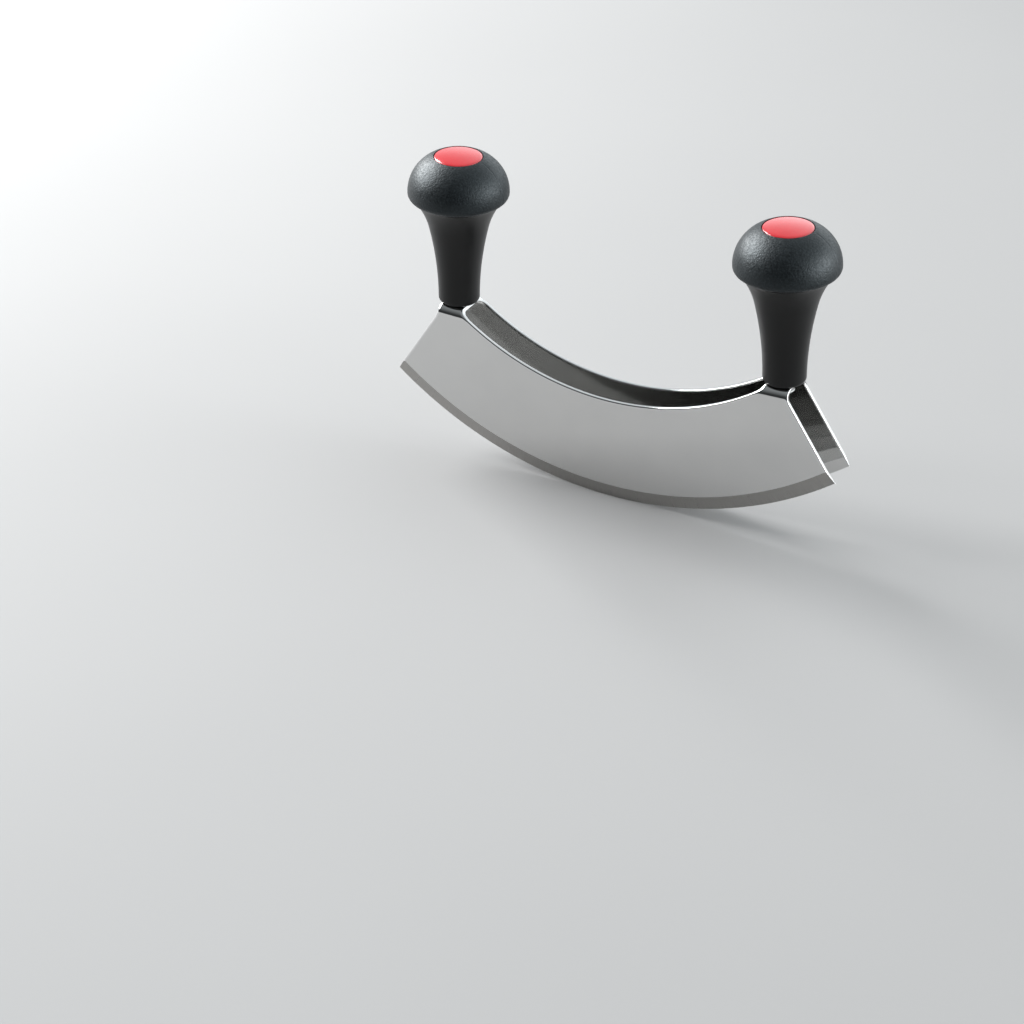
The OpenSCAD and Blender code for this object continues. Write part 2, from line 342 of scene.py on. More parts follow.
def open_tree(name, inputs):
    """A geometry tree with a geometry input and named inputs, and the wires of those."""
    tree = bpy.data.node_groups.new(name, "GeometryNodeTree")
    tree.interface.new_socket("Geometry", in_out="INPUT", socket_type="NodeSocketGeometry")
    for label, kind in inputs.items():
        tree.interface.new_socket(label, in_out="INPUT", socket_type="NodeSocket" + kind)
    tree.interface.new_socket("Geometry", in_out="OUTPUT", socket_type="NodeSocketGeometry")
    given = tree.nodes.new("NodeGroupInput")
    return tree, given


def close_tree(tree, geometry, given):
    """Ends a tree in Realize Instances and Set Material."""
    realize = tree.nodes.new("GeometryNodeRealizeInstances")
    finish = tree.nodes.new("GeometryNodeSetMaterial")
    result = tree.nodes.new("NodeGroupOutput")
    tree.links.new(geometry, realize.inputs[0])
    tree.links.new(realize.outputs[0], finish.inputs["Geometry"])
    tree.links.new(given.outputs["Material"], finish.inputs["Material"])
    tree.links.new(finish.outputs[0], result.inputs[0])


def in_scene(name, data):
    """A new object of a mesh, light or camera, in the scene."""
    made = bpy.data.objects.new(name, data)
    bpy.context.scene.collection.objects.link(made)
    return made


def bake(name, base, tree, values):
    """Runs a tree on a base mesh and returns the result as a plain closed object."""
    maker = in_scene(name + "_maker", base)
    modifier = maker.modifiers.new("shape", "NODES")
    modifier.node_group = tree
    names = {item.name: item.identifier for item in tree.interface.items_tree
             if item.item_type == "SOCKET" and item.in_out == "INPUT"}
    for label, value in values.items():
        modifier[names[label]] = value
    evaluated = maker.evaluated_get(bpy.context.evaluated_depsgraph_get())
    mesh = bpy.data.meshes.new_from_object(evaluated)
    bpy.data.objects.remove(maker)
    return plain_object(name, mesh)


def plain_object(name, mesh):
    """Object of a mesh whose faces point outwards, smooth but for its sharp edges."""
    mesh.name = name
    shape = bmesh.new()
    shape.from_mesh(mesh)
    bmesh.ops.remove_doubles(shape, verts=shape.verts, dist=MERGE_GAP)
    bmesh.ops.dissolve_degenerate(shape, edges=shape.edges, dist=1e-8)
    bmesh.ops.recalc_face_normals(shape, faces=shape.faces)
    shape.to_mesh(mesh)
    shape.free()
    mesh.shade_smooth()
    mesh.set_sharp_from_angle(angle=SHARP)
    return in_scene(name, mesh)


def turned_tree(name, shaped):
    """Tree that turns a half outline around Z; shaped(wires) may change the radius."""
    tree, given = open_tree(name, {
        "Columns": "Int", "Crowding": "Float", "Feature width": "Float",
        "Feature depth": "Float", "Feature count": "Float", "Feature pitch": "Float",
        "Material": "Material",
    })
    link = tree.links.new
    count = tree.nodes.new("GeometryNodeAttributeDomainSize")
    link(given.outputs["Geometry"], count.inputs[0])
    rows = Wire(tree, count.outputs["Point Count"])
    columns = Wire(tree, given.outputs["Columns"])
    grid = tree.nodes.new("GeometryNodeMeshGrid")
    link((columns + 1).socket, grid.inputs["Vertices X"])
    link(rows.socket, grid.inputs["Vertices Y"])
    index = Wire(tree, tree.nodes.new("GeometryNodeInputIndex").outputs[0])
    row = index.rest(rows)
    column = (index / rows).whole()

    outline = tree.nodes.new("GeometryNodeSampleIndex")
    outline.data_type = "FLOAT_VECTOR"
    link(given.outputs["Geometry"], outline.inputs["Geometry"])
    place = tree.nodes.new("GeometryNodeInputPosition")
    link(place.outputs[0], outline.inputs["Value"])
    link(row.socket, outline.inputs["Index"])
    parts = tree.nodes.new("ShaderNodeSeparateXYZ")
    link(outline.outputs[0], parts.inputs[0])
    flag = tree.nodes.new("GeometryNodeSampleIndex")
    link(given.outputs["Geometry"], flag.inputs["Geometry"])
    marked = tree.nodes.new("GeometryNodeInputNamedAttribute")
    marked.inputs["Name"].default_value = "feature"
    link(marked.outputs["Attribute"], flag.inputs["Value"])
    link(row.socket, flag.inputs["Index"])

    turn = column / columns * math.tau
    turn = turn - (turn * 2).sin() * Wire(tree, given.outputs["Crowding"]) / 2
    wires = {
        "radius": Wire(tree, parts.outputs["X"]),
        "height": Wire(tree, parts.outputs["Z"]),
        "turn": turn,
        "feature": Wire(tree, flag.outputs[0]),
        "width": Wire(tree, given.outputs["Feature width"]),
        "depth": Wire(tree, given.outputs["Feature depth"]),
        "count": Wire(tree, given.outputs["Feature count"]),
        "pitch": Wire(tree, given.outputs["Feature pitch"]),
    }
    radius = shaped(wires)
    point = tree.nodes.new("ShaderNodeCombineXYZ")
    link((radius * turn.cos()).socket, point.inputs["X"])
    link((radius * turn.sin()).socket, point.inputs["Y"])
    link(wires["height"].socket, point.inputs["Z"])
    put = tree.nodes.new("GeometryNodeSetPosition")
    link(grid.outputs["Mesh"], put.inputs["Geometry"])
    link(point.outputs[0], put.inputs["Position"])
    seam = tree.nodes.new("GeometryNodeMergeByDistance")
    seam.inputs["Distance"].default_value = MERGE_GAP
    link(put.outputs[0], seam.inputs["Geometry"])
    close_tree(tree, seam.outputs[0], given)
    return tree


def moulded(w):
    """A shallow groove along both sides, where the two mould halves met."""
    near = w["radius"] * w["turn"].sin() / w["width"]
    return w["radius"] - (near * near + 1).math("POWER", -2.0) * w["depth"] * w["feature"]


def threaded(w):
    """A helical thread on the marked rows, and a socket with flats inside the head."""
    lead = (w["height"] / w["pitch"] - w["turn"] / math.tau).rest(1.0)
    ridge = (lead * 2 - 1).size()
    thread = ridge * w["depth"] * w["feature"].math("MAXIMUM", 0.0)
    sector = math.tau / 6
    flat = (w["turn"].rest(sector) - sector / 2).cos()
    hexagon = w["feature"].math("LESS_THAN", -0.5)
    round_to_flat = hexagon / flat + (hexagon * -1 + 1)
    return (w["radius"] - thread) * round_to_flat


def knurled(w):
    """Fine straight ribs on the marked rows."""
    rib = ((w["turn"] * w["count"]).cos() * 0.5 + 0.5) * w["depth"]
    return w["radius"] - rib * w["feature"]


def outline_mesh(name, points, feature):
    """Vertices of a half outline, with how much each takes part in the tree's feature."""
    mesh = bpy.data.meshes.new(name)
    mesh.from_pydata([(r, 0, z) for r, z in points], [], [])
    marks = mesh.attributes.new("feature", "FLOAT", "POINT")
    marks.data.foreach_set("value", [float(feature(r, z)) for r, z in points])
    return mesh


def split_ring_tree():
    """Tree of the lock washer: a square ring with one slanting split."""
    tree, given = open_tree("Split ring", {
        "Radius": "Float", "Width": "Float", "Height": "Float", "Split": "Float",
        "Slant": "Float", "Middle": "Float", "Material": "Material",
    })
    link = tree.links.new
    radius = Wire(tree, given.outputs["Radius"])
    height = Wire(tree, given.outputs["Height"])
    gap = Wire(tree, given.outputs["Split"]) / radius
    path = tree.nodes.new("GeometryNodeCurveArc")
    path.inputs["Resolution"].default_value = 96
    link(radius.socket, path.inputs["Radius"])
    link((gap / 2).socket, path.inputs["Start Angle"])
    link((gap * -1 + math.tau).socket, path.inputs["Sweep Angle"])
    section = tree.nodes.new("GeometryNodeCurvePrimitiveQuadrilateral")
    link(given.outputs["Width"], section.inputs["Width"])
    link(height.socket, section.inputs["Height"])
    corners = tree.nodes.new("GeometryNodeFilletCurve")
    corners.mode = "POLY"
    corners.inputs["Radius"].default_value = 0.1 * MM
    corners.inputs["Count"].default_value = 2
    link(section.outputs[0], corners.inputs["Curve"])
    sweep = tree.nodes.new("GeometryNodeCurveToMesh")
    link(path.outputs[0], sweep.inputs["Curve"])
    link(corners.outputs[0], sweep.inputs["Profile Curve"])
    sweep.inputs["Fill Caps"].default_value = True
    place = tree.nodes.new("GeometryNodeInputPosition")
    parts = tree.nodes.new("ShaderNodeSeparateXYZ")
    link(place.outputs[0], parts.inputs[0])
    x, y, z = (Wire(tree, parts.outputs[axis]) for axis in "XYZ")
    slant = Wire(tree, given.outputs["Slant"]).math("TANGENT")
    turn = y.math("ARCTAN2", x) - z * slant / radius
    far = (x * x + y * y).math("SQRT")
    point = tree.nodes.new("ShaderNodeCombineXYZ")
    link((far * turn.cos()).socket, point.inputs["X"])
    link((far * turn.sin()).socket, point.inputs["Y"])
    link((z + Wire(tree, given.outputs["Middle"])).socket, point.inputs["Z"])
    put = tree.nodes.new("GeometryNodeSetPosition")
    link(sweep.outputs[0], put.inputs["Geometry"])
    link(point.outputs[0], put.inputs["Position"])
    close_tree(tree, put.outputs[0], given)
    return tree


# Blades: one quarter of the folded sheet is worked out, and mirrored twice

HOLLOW_STEPS, NECK_STEPS = 56, 12
END_STEPS, BEND_STEPS, PLATE_STEPS = 20, 16, 5
GRIND_SHARES = (0, 0.4, 0.75, 0.87, 0.94, 1)   # heights of the bevel's rows
PLATE_SHARES = (0, 0.3, 0.65, 1)               # rows from the screw's hole to the bridge's rim
ROUND_STEPS = 7
SMOOTH = math.cos(SHARP)
SETTLE_ROUNDS = 6              # enough for side_point to settle on its place
SHEET_GAP = 5e-7               # the sheet's quarters merge where they are nearer than this
MIRROR, GROUND, ROUNDED, RAW = 0, 1, 2, 3
HOLLOW_SHARE = 0.71            # part of the blade's edge that lies under the hollow

RIGHT_HANDLE = handle_frame("right")
BRIDGE_POINT = RIGHT_HANDLE.translation
BRIDGE_ALONG = RIGHT_HANDLE.col[0].to_3d()
BRIDGE_UP = RIGHT_HANDLE.col[2].to_3d()
NECK_IN = BRIDGE_POINT.x - NECK_W / 2
NECK_OUT = BRIDGE_POINT.x + NECK_W / 2
HOLLOW_Z = WAIST_H + HOLLOW_R
TIP_Z = EDGE_R - math.sqrt(EDGE_R ** 2 - TIP_X ** 2)
IN_X = NECK_IN - INNER_CORNER_R
IN_Z = HOLLOW_Z - math.sqrt((HOLLOW_R - INNER_CORNER_R) ** 2 - IN_X ** 2)
IN_TURN = math.asin(IN_X / (HOLLOW_R - INNER_CORNER_R))
SLANT = math.atan2(TIP_X - NECK_OUT, SHOULDER_H - TIP_Z)
CORNER_RUN = OUTER_CORNER_R * math.tan(SLANT / 2)
OUT_X = NECK_OUT + OUTER_CORNER_R
OUT_Z = SHOULDER_H + CORNER_RUN


def inner_side(z, inset):
    """X of the hollow, its corner or the neck's inner side at a height, moved in by inset."""
    if z >= IN_Z:
        return NECK_IN + inset
    if z >= IN_Z - (INNER_CORNER_R + inset) * math.cos(IN_TURN):
        return IN_X + math.sqrt((INNER_CORNER_R + inset) ** 2 - (z - IN_Z) ** 2)
    return math.sqrt((HOLLOW_R + inset) ** 2 - (HOLLOW_Z - z) ** 2)


def outer_side(z, inset):
    """X of the neck's outer side at a height, moved into the sheet by inset."""
    if z >= OUT_Z:
        return NECK_OUT - inset
    return OUT_X - math.sqrt((OUTER_CORNER_R + inset) ** 2 - (z - OUT_Z) ** 2)


def bridge_height(x, up):
    """Height over the floor of the point at x that lies up above the bridge's top face."""
    along = (x - BRIDGE_POINT.x - up * BRIDGE_UP.x) / BRIDGE_ALONG.x
    return BRIDGE_POINT.z + along * BRIDGE_ALONG.z + up * BRIDGE_UP.z


def side_point(side, up, inset):
    """X and Z where a line along the bridge, at a height on its axis, meets a side."""
    x = BRIDGE_POINT.x
    for _ in range(SETTLE_ROUNDS):
        x = side(bridge_height(x, up), inset)
    return Vector((x, bridge_height(x, up)))


def bent(turn, depth):
    """Y and height over the bridge's top at an angle of the bend, 0 where it starts."""
    reach = BEND_R - depth
    return -(HALF_W - BEND_R) - reach * math.cos(turn), reach * math.sin(turn) - BEND_R


def hollow_side(inset):
    """Points along the hollow, from the middle to the bend, which starts on its arc."""
    start = side_point(inner_side, -BEND_R, inset)
    last = math.atan2(start.x, HOLLOW_Z - start.y)
    far = HOLLOW_R + inset
    turns = [last * i / HOLLOW_STEPS for i in range(HOLLOW_STEPS + 1)]
    return [Vector((math.sin(t) * far, HOLLOW_Z - math.cos(t) * far)) for t in turns]


def neck_line(up, inset):
    """Points across the neck at a height over the bridge, from its inner to its outer side."""
    a, b = side_point(inner_side, up, inset), side_point(outer_side, up, inset)
    return [a.lerp(b, i / NECK_STEPS) for i in range(NECK_STEPS + 1)]


def slant_point(radius, inset):
    """Point of the slanting end at a distance from the edge's centre, moved in by inset."""
    tip = Vector((TIP_X, TIP_Z)) + Vector((-math.cos(SLANT), -math.sin(SLANT))) * inset
    run = Vector((-math.sin(SLANT), math.cos(SLANT)))
    to_tip = tip - Vector((0, EDGE_R))
    half = to_tip.dot(run)
    return tip + run * (-half - math.sqrt(half ** 2 - to_tip.length_squared + radius ** 2))


def end_side(inset):
    """Points up the slanting end and round the outer corner, from the bevel to the bend."""
    start = slant_point(EDGE_R - BEVEL_W, inset)
    far = OUTER_CORNER_R + inset
    foot = Vector((OUT_X, OUT_Z)) - Vector((math.cos(SLANT), math.sin(SLANT))) * far
    top = side_point(outer_side, -BEND_R, inset)
    last = math.atan2(OUT_Z - top.y, OUT_X - top.x)
    round_steps = END_STEPS // 4
    straight = END_STEPS - round_steps
    points = [start.lerp(foot, i / straight) for i in range(straight + 1)]
    for i in range(1, round_steps + 1):
        turn = SLANT + (last - SLANT) * i / round_steps
        points.append(Vector((OUT_X - math.cos(turn) * far, OUT_Z - math.sin(turn) * far)))
    return points


def edge_turns(radius, inset):
    """Angles of the columns at a distance from the edge's centre."""
    end = slant_point(radius, inset)
    last = math.atan2(end.x, EDGE_R - end.y)
    shares = [HOLLOW_SHARE * i / HOLLOW_STEPS for i in range(HOLLOW_STEPS)]
    shares += [HOLLOW_SHARE + (1 - HOLLOW_SHARE) * i / NECK_STEPS for i in range(NECK_STEPS + 1)]
    return [share * last for share in shares]


def edge_row(radius, inset):
    """Points along the blade at a distance from the edge's centre."""
    return [Vector((radius * math.sin(t), EDGE_R - radius * math.cos(t)))
            for t in edge_turns(radius, inset)]


def ground_depth(radius):
    """How deep the grinding has gone into the outer face at a distance from the centre."""
    return max(0, radius - EDGE_R + BEVEL_W) / BEVEL_W * (SHEET_T - EDGE_T)


def rounding(ground=0.0):
    """Insets and depths across a cut edge: rounded, flat, rounded; grinding eats the first."""
    start = math.acos(max(1 - ground / ROUND_RISE, 0.1))
    left = min(1, (SHEET_T - ground) / 4 / ROUND_RISE)
    outer, inner = [], []
    for i in range(ROUND_STEPS + 1):
        turn = start + (math.pi / 2 - start) * i / ROUND_STEPS
        rise = ROUND_RISE * (math.cos(start) - math.cos(turn))
        outer.append((ROUND_RUN * (1 - math.sin(turn)), ground + rise))
        turn = math.pi / 2 * (1 - i / ROUND_STEPS)
        rise = left * ROUND_RISE * (1 - math.cos(turn))
        inner.append((left * ROUND_RUN * (1 - math.sin(turn)), SHEET_T - rise))
    return outer + inner


class Quarter:
    """The right half of the front blade, with half of its bridge, as quads."""

    def __init__(self):
        self.shape = bmesh.new()
        self.broad = self.shape.faces.layers.int.new("broad")

    def strip(self, rows, kind, broad=True):
        """Faces between rows of points with as many points each."""
        made = [[self.shape.verts.new(p) for p in row] for row in rows]
        for below, above in zip(made, made[1:]):
            for i in range(len(below) - 1):
                face = self.shape.faces.new((below[i], below[i + 1], above[i + 1], above[i]))
                face.material_index = kind
                face[self.broad] = broad

    def rim(self, rows):
        """A cut edge: a polished rounding on each side of the raw middle."""
        half = len(rows) // 2
        self.strip(rows[:half], ROUNDED, broad=False)
        self.strip(rows[half - 1:half + 1], RAW)
        self.strip(rows[half:], ROUNDED, broad=False)

    def flat(self, points, depth):
        """Points in X and Z put on the front blade, at a depth in its sheet."""
        return [Vector((p.x, -HALF_W + depth, p.y)) for p in points]

    def blade(self, depth):
        """The flat of the blade, above the bevel on its outer face."""
        inset = ROUND_RUN
        low = edge_row(EDGE_R - BEVEL_W, inset)
        high = hollow_side(inset)[:-1] + neck_line(-BEND_R, inset)
        end = end_side(inset)
        rows = []
        for i in range(END_STEPS + 1):
            share = i / END_STEPS
            row = [a.lerp(b, share) for a, b in zip(low, high)]
            row[-1] = end[i]
            rows.append(self.flat(row, depth))
        self.strip(rows, MIRROR)

    def grind(self, outer):
        """The bevel on the outer face, or the flat behind it."""
        rows = []
        for share in GRIND_SHARES:
            radius = EDGE_R - BEVEL_W * share
            depth = ground_depth(radius)
            inset = rounding(depth)[0 if outer else -1][0]
            rows.append(self.flat(edge_row(radius, inset), depth if outer else SHEET_T))
        self.strip(rows, GROUND if outer else MIRROR)

    def land(self):
        """The narrow land along the cutting edge."""
        section = rounding(SHEET_T - EDGE_T)
        rows = [self.flat(edge_row(EDGE_R, section[i][0]), depth)
                for i, depth in ((0, SHEET_T - EDGE_T), (-1, SHEET_T))]
        self.strip(rows, GROUND)

    def bend(self, depth):
        """The bend between blade and bridge, on the outside or the inside of the sheet."""
        rows = []
        for i in range(BEND_STEPS + 1):
            y, up = bent(math.pi / 2 * i / BEND_STEPS, depth)
            rows.append([Vector((p.x, y, p.y)) for p in neck_line(up, ROUND_RUN)])
        self.strip(rows, MIRROR, broad=False)

    def plate(self, depth):
        """Half of the bridge's flat, around half of the screw's hole."""
        y, up = bent(math.pi / 2, depth)
        line = neck_line(up, ROUND_RUN)
        rim = [Vector((line[0].x, y * i / PLATE_STEPS, line[0].y)) for i in range(PLATE_STEPS)]
        rim += [Vector((p.x, y, p.y)) for p in line]
        rim += [Vector((line[-1].x, y * i / PLATE_STEPS, line[-1].y))
                for i in reversed(range(PLATE_STEPS))]
        hole = self.hole_row(up, len(rim))
        rows = [[a.lerp(b, share) for a, b in zip(hole, rim)] for share in PLATE_SHARES]
        self.strip(rows, MIRROR)

    def hole_row(self, up, count):
        """Half of the screw hole's circle, at a height over the bridge's top."""
        centre = BRIDGE_POINT + BRIDGE_UP * up
        turns = [math.pi * i / (count - 1) for i in range(count)]
        return [centre - BRIDGE_ALONG * (HOLE_R * math.cos(t)) - Vector((0, HOLE_R * math.sin(t), 0))
                for t in turns]

    def hole(self):
        """Half of the wall of the screw's hole."""
        count = NECK_STEPS + 1 + 2 * PLATE_STEPS
        self.strip([self.hole_row(0, count), self.hole_row(-SHEET_T, count)], RAW)

    def walls(self):
        """The rounded cut edges along the hollow, the end, the neck's sides and the bevel's end."""
        section = rounding()
        self.rim([self.flat(hollow_side(inset), depth) for inset, depth in section])
        self.rim([self.flat(end_side(inset), depth) for inset, depth in section])
        for side in (inner_side, outer_side):
            rows = []
            for inset, depth in section:
                row = []
                for i in range(BEND_STEPS + 1):
                    y, up = bent(math.pi / 2 * i / BEND_STEPS, depth)
                    p = side_point(side, up, inset)
                    row.append(Vector((p.x, y, p.y)))
                flat_y, up = bent(math.pi / 2, depth)
                p = side_point(side, up, inset)
                row += [Vector((p.x, flat_y * (PLATE_STEPS - i) / PLATE_STEPS, p.y))
                        for i in range(1, PLATE_STEPS + 1)]
                rows.append(row)
            self.rim(rows)
        columns = []
        for share in GRIND_SHARES:
            radius = EDGE_R - BEVEL_W * share
            columns.append([
                self.flat([slant_point(radius, inset)], depth)[0]
                for inset, depth in rounding(ground_depth(radius))
            ])
        self.rim(list(zip(*columns)))
        end = [self.shape.verts.new(p) for p in columns[0]]
        self.shape.faces.new(end).material_index = RAW

    def build(self):
        """All faces of the quarter; their doubles are merged after mirroring."""
        for depth in (0, SHEET_T):
            self.blade(depth)
            self.bend(depth)
            self.plate(depth)
        self.grind(True)
        self.grind(False)
        self.land()
        self.hole()
        self.walls()
        return self.shape


def corner_normals(shape):
    """A normal for each face corner; broad faces keep theirs right up to their rims."""
    broad = shape.faces.layers.int["broad"]
    normals = []
    for face in shape.faces:
        ground = face.material_index == GROUND
        for corner in face.loops:
            near = [f for f in corner.vert.link_faces
                    if (f.material_index == GROUND) == ground and f.normal.dot(face.normal) > SMOOTH]
            leading = [f for f in near if f[broad]] or near
            total = sum((f.normal * f.calc_area() for f in leading), Vector())
            normals.append(total.normalized())
    return normals


def blade_sheet(name):
    """Both blades and both bridges as one closed sheet."""
    shape = Quarter().build()
    for flip in (Matrix.Scale(-1, 4, (1, 0, 0)), Matrix.Scale(-1, 4, (0, 1, 0))):
        copy = bmesh.ops.duplicate(shape, geom=shape.verts[:] + shape.edges[:] + shape.faces[:])
        mirrored = [g for g in copy["geom"] if isinstance(g, bmesh.types.BMVert)]
        bmesh.ops.transform(shape, matrix=flip, verts=mirrored)
    bmesh.ops.remove_doubles(shape, verts=shape.verts, dist=SHEET_GAP)
    bmesh.ops.recalc_face_normals(shape, faces=shape.faces)
    normals = corner_normals(shape)
    mesh = bpy.data.meshes.new(name)
    shape.to_mesh(mesh)
    shape.free()
    mesh.shade_smooth()
    mesh.normals_split_custom_set(normals)
    return in_scene(name, mesh)


# Materials


def mapped(tree, value, start_end, low_high, kind):
    """A value mapped from one range to another, and kept within it."""
    node = tree.nodes.new("ShaderNodeMapRange")
    node.interpolation_type = kind
    tree.links.new(value.socket, node.inputs["Value"])
    for label, number in zip(("From Min", "From Max", "To Min", "To Max"), start_end + low_high):
        node.inputs[label].default_value = number
    return Wire(tree, node.outputs["Result"])


class Finish:
    """A material's node tree; constants are set on the shader's own sockets."""

    def __init__(self, name, **constants):
        self.material = bpy.data.materials.new(name)
        self.material.use_nodes = True
        self.tree = self.material.node_tree
        self.shader = self.tree.nodes["Principled BSDF"]
        for label, value in constants.items():
            self.shader.inputs[label.replace("_", " ")].default_value = value
        place = self.tree.nodes.new("ShaderNodeTexCoord")
        self.place = place.outputs["Object"]

    def axes(self):
        """X, Y and Z of the place on the piece, in metres."""
        parts = self.tree.nodes.new("ShaderNodeSeparateXYZ")
        self.tree.links.new(self.place, parts.inputs[0])
        return [Wire(self.tree, parts.outputs[axis]) for axis in "XYZ"]

    def point(self, x, y, z):
        """A place for a pattern, of three values."""
        node = self.tree.nodes.new("ShaderNodeCombineXYZ")
        for slot, value in zip(node.inputs, (x, y, z)):
            self.tree.links.new(value.socket, slot)
        return node.outputs[0]

    def noise(self, scale, detail=2.0, at=None, rough=0.5):
        """Clouded pattern; scale is per metre."""
        node = self.tree.nodes.new("ShaderNodeTexNoise")
        node.inputs["Scale"].default_value = scale
        node.inputs["Detail"].default_value = detail
        node.inputs["Roughness"].default_value = rough
        self.tree.links.new(at or self.place, node.inputs["Vector"])
        return Wire(self.tree, node.outputs[0])

    def pits(self, scale):
        """Pattern of rounded cells; scale is per metre."""
        node = self.tree.nodes.new("ShaderNodeTexVoronoi")
        node.feature = "SMOOTH_F1"
        node.inputs["Scale"].default_value = scale
        self.tree.links.new(self.place, node.inputs["Vector"])
        return Wire(self.tree, node.outputs["Distance"])

    def between(self, value, low, high, start=0.0, end=1.0):
        """Maps a value from start..end to low..high, clamped."""
        return mapped(self.tree, value, (start, end), (low, high), "LINEAR")

    def blend(self, factor, first, second):
        """From the first colour at 0 to the second at 1."""
        node = self.tree.nodes.new("ShaderNodeMix")
        node.data_type = "RGBA"
        self.tree.links.new(factor.socket, node.inputs[0])
        for slot, colour in ((node.inputs[6], first), (node.inputs[7], second)):
            if isinstance(colour, tuple):
                slot.default_value = (*colour, 1)
            else:
                self.tree.links.new(colour, slot)
        return node.outputs[2]

    def colour(self, socket):
        self.tree.links.new(socket, self.shader.inputs["Base Color"])

    def roughness(self, value):
        self.tree.links.new(value.socket, self.shader.inputs["Roughness"])

    def bump(self, height, distance):
        """Relief of a real depth, in metres."""
        node = self.tree.nodes.new("ShaderNodeBump")
        node.inputs["Distance"].default_value = distance
        self.tree.links.new(height.socket, node.inputs["Height"])
        self.tree.links.new(node.outputs[0], self.shader.inputs["Normal"])


def mirror_steel():
    """Polished sheet: a near mirror, with faint rolling waves and polishing haze."""
    look = Finish("mirror_steel", Metallic=1.0)
    x, y, z = look.axes()
    streaks = look.noise(1.0, 3.0, look.point(x * 40, y * 900, z * 900))
    waves = look.noise(14.0, 1.0)
    haze = look.noise(60.0, 3.0)
    look.colour(look.blend(haze, (0.60, 0.60, 0.595), (0.65, 0.65, 0.64)))
    look.roughness(look.between(haze * 0.6 + streaks * 0.4, 0.03, 0.075, 0.3, 0.7))
    look.bump(waves * 0.9 + streaks * 0.004, 0.06 * MM)
    return look.material


def ground_steel_and_painted_shade():
    """Bevel with fine grinding marks that run straight up from the edge; its colour is kept darker
    than the polished faces, partly for the grinding and partly as painted shade.
    """
    look = Finish("ground_steel_and_painted_shade", Metallic=1.0)
    x, y, z = look.axes()
    turn = x.math("ARCTAN2", z * -1 + EDGE_R) * EDGE_R
    rise = (x * x + (z - EDGE_R) * (z - EDGE_R)).math("SQRT")
    marks = look.noise(1.0, 4.0, look.point(turn * 4200, y * 100, rise * 90), 0.62)
    broad = look.noise(1.0, 2.0, look.point(turn * 500, y * 60, rise * 40))
    # Darker than the mirror steel: partly the ground finish, partly painted shade for the shaded
    # floor that the downward-tilted bevel faces.
    look.colour(look.blend(marks, (0.26, 0.25, 0.24), (0.46, 0.45, 0.435)))
    look.roughness(look.between(marks * 0.6 + broad * 0.4, 0.24, 0.42, 0.3, 0.7))
    look.bump(marks * 0.7 + broad * 0.3, 0.012 * MM)
    return look.material


def raw_steel():
    """Satin middle of the sheet's cut edges."""
    look = Finish("raw_edge_steel", Metallic=1.0)
    grain = look.noise(1400.0, 3.0)
    stain = look.noise(160.0, 3.0)
    look.colour(look.blend(stain, (0.46, 0.46, 0.46), (0.56, 0.56, 0.555)))
    look.roughness(look.between(grain * 0.5 + stain * 0.5, 0.16, 0.26, 0.3, 0.7))
    look.bump(grain, 0.004 * MM)
    return look.material


def rounded_steel():
    """Deburred and polished roundings along the cut edges."""
    look = Finish("rounded_edge_steel", Metallic=1.0)
    grain = look.noise(900.0, 3.0)
    wear = look.noise(90.0, 2.0)
    look.colour(look.blend(wear, (0.62, 0.62, 0.62), (0.70, 0.70, 0.695)))
    look.roughness(look.between(wear, 0.05, 0.1, 0.3, 0.7))
    look.bump(grain, 0.002 * MM)
    return look.material


def stem_plastic():
    """Smooth black moulded plastic with a very fine grain."""
    look = Finish("stem_plastic", IOR=1.45, Specular_IOR_Level=0.32)
    grain = look.noise(4200.0, 3.0)
    patches = look.noise(70.0, 2.0)
    look.colour(look.blend(patches, (0.0028, 0.0028, 0.0029), (0.0042, 0.0042, 0.0043)))
    look.roughness(look.between(grain * 0.4 + patches * 0.6, 0.3, 0.42, 0.3, 0.7))
    look.bump(grain, 0.012 * MM)
    return look.material


def knob_soft_touch():
    """Charcoal with the even sparkling grain of a spark-eroded mould."""
    look = Finish("knob_soft_touch", IOR=1.45, Specular_IOR_Level=0.45,
                  Specular_Tint=(0.84, 0.95, 1.0, 1))
    grain = look.noise(1300.0, 2.0, rough=0.6)
    coarse = look.pits(1100.0)
    patches = look.noise(60.0, 2.0)
    pale = look.between(grain, 0.0, 1.0, 0.42, 0.68)
    base = look.blend(patches, (0.0025, 0.0036, 0.0044), (0.0038, 0.005, 0.0058))
    look.colour(look.blend(pale, base, (0.0105, 0.014, 0.016)))
    look.roughness(look.between(grain * 0.5 + coarse * 0.5, 0.34, 0.56, 0.25, 0.65))
    look.bump(grain * 0.6 + coarse * 0.4, 0.17 * MM)
    return look.material


def cap_plastic():
    """Glossy red with a faint moulding ripple."""
    look = Finish("cap_plastic", IOR=1.5, Coat_Weight=0.35, Coat_Roughness=0.05)
    ripple = look.noise(130.0, 2.0)
    grain = look.noise(2600.0, 2.0)
    look.colour(look.blend(ripple, (0.39, 0.011, 0.016), (0.45, 0.016, 0.022)))
    look.roughness(look.between(grain * 0.5 + ripple * 0.5, 0.16, 0.26, 0.3, 0.7))
    look.bump(ripple * 0.9 + grain * 0.1, 0.02 * MM)
    return look.material


def turned_brass():
    """Brass with fine turning rings and a little tarnish."""
    look = Finish("turned_brass", Metallic=1.0)
    x, y, z = look.axes()
    rings = look.noise(1.0, 3.0, look.point(x * 60, y * 60, z * 5000))
    tarnish = look.noise(260.0, 3.0)
    look.colour(look.blend(tarnish, (0.66, 0.44, 0.17), (0.82, 0.60, 0.27)))
    look.roughness(look.between(rings * 0.6 + tarnish * 0.4, 0.2, 0.38, 0.3, 0.7))
    look.bump(rings, 0.01 * MM)
    return look.material


